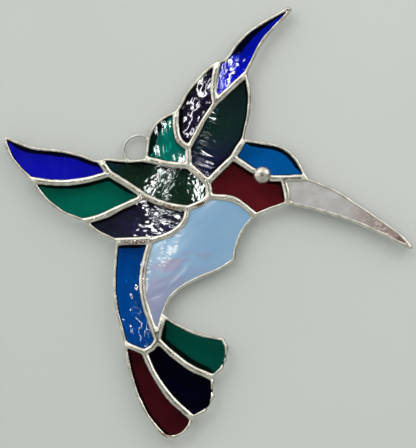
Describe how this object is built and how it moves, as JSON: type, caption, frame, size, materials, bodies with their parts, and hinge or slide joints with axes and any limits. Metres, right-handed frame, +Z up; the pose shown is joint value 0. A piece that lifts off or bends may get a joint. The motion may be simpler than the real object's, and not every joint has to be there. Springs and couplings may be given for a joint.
{
  "type": "stained glass suncatcher",
  "caption": "Copper-foil stained glass hummingbird: coloured panes in a net of solder, hung from a wire ring on its back.",
  "frame": {"origin": "centre of the hanging ring", "axes": "+Z up, front of the bird faces -Y, beak towards +X"},
  "size_m": [0.2045, 0.0096, 0.2155],
  "materials": {
    "cobalt_glass": "smooth cathedral glass with faint streaks",
    "green_glass": "smooth cathedral glass",
    "violet_ripple_glass": "deep violet glass, rippled",
    "speckled_green_glass": "dark green glass, finely hammered",
    "teal_ripple_glass": "teal glass, rippled",
    "violet_glass": "dark violet glass, wavy",
    "cobalt_hammered_glass": "cobalt glass, partly hammered",
    "slate_glass": "slate blue glass with fine reeding",
    "azure_glass": "smooth azure cathedral glass",
    "ruby_glass": "smooth ruby glass",
    "pearl_glass": "opal glass, pearl pink",
    "opal_glass": "iridescent opal glass, pale blue to lavender",
    "blue_glass": "blue glass, gently rippled",
    "forest_glass": "smooth forest green glass",
    "navy_glass": "near-black navy glass",
    "garnet_glass": "dark garnet glass",
    "solder": "bright tin-lead solder over copper foil, hand beaded",
    "tinned_wire": "tinned wire",
    "polished_solder": "polished domed bead"
  },
  "bodies": {
    "root": {"left_wing_tip": "cobalt_glass", "left_wing_middle": "green_glass", "left_wing_lower": "violet_ripple_glass", "left_wing_covert": "speckled_green_glass", "back_feather": "teal_ripple_glass", "right_wing_inner": "violet_glass", "right_wing_tip": "cobalt_hammered_glass", "right_wing_covert": "slate_glass", "crown": "azure_glass", "throat": "ruby_glass", "beak": "pearl_glass", "breast": "opal_glass", "rump": "blue_glass", "tail_green": "forest_glass", "tail_navy": "navy_glass", "tail_red": "garnet_glass", "solder_lines": "solder", "hanging_ring": "tinned_wire", "eye_bead": "polished_solder"}
  },
  "joints": []
}
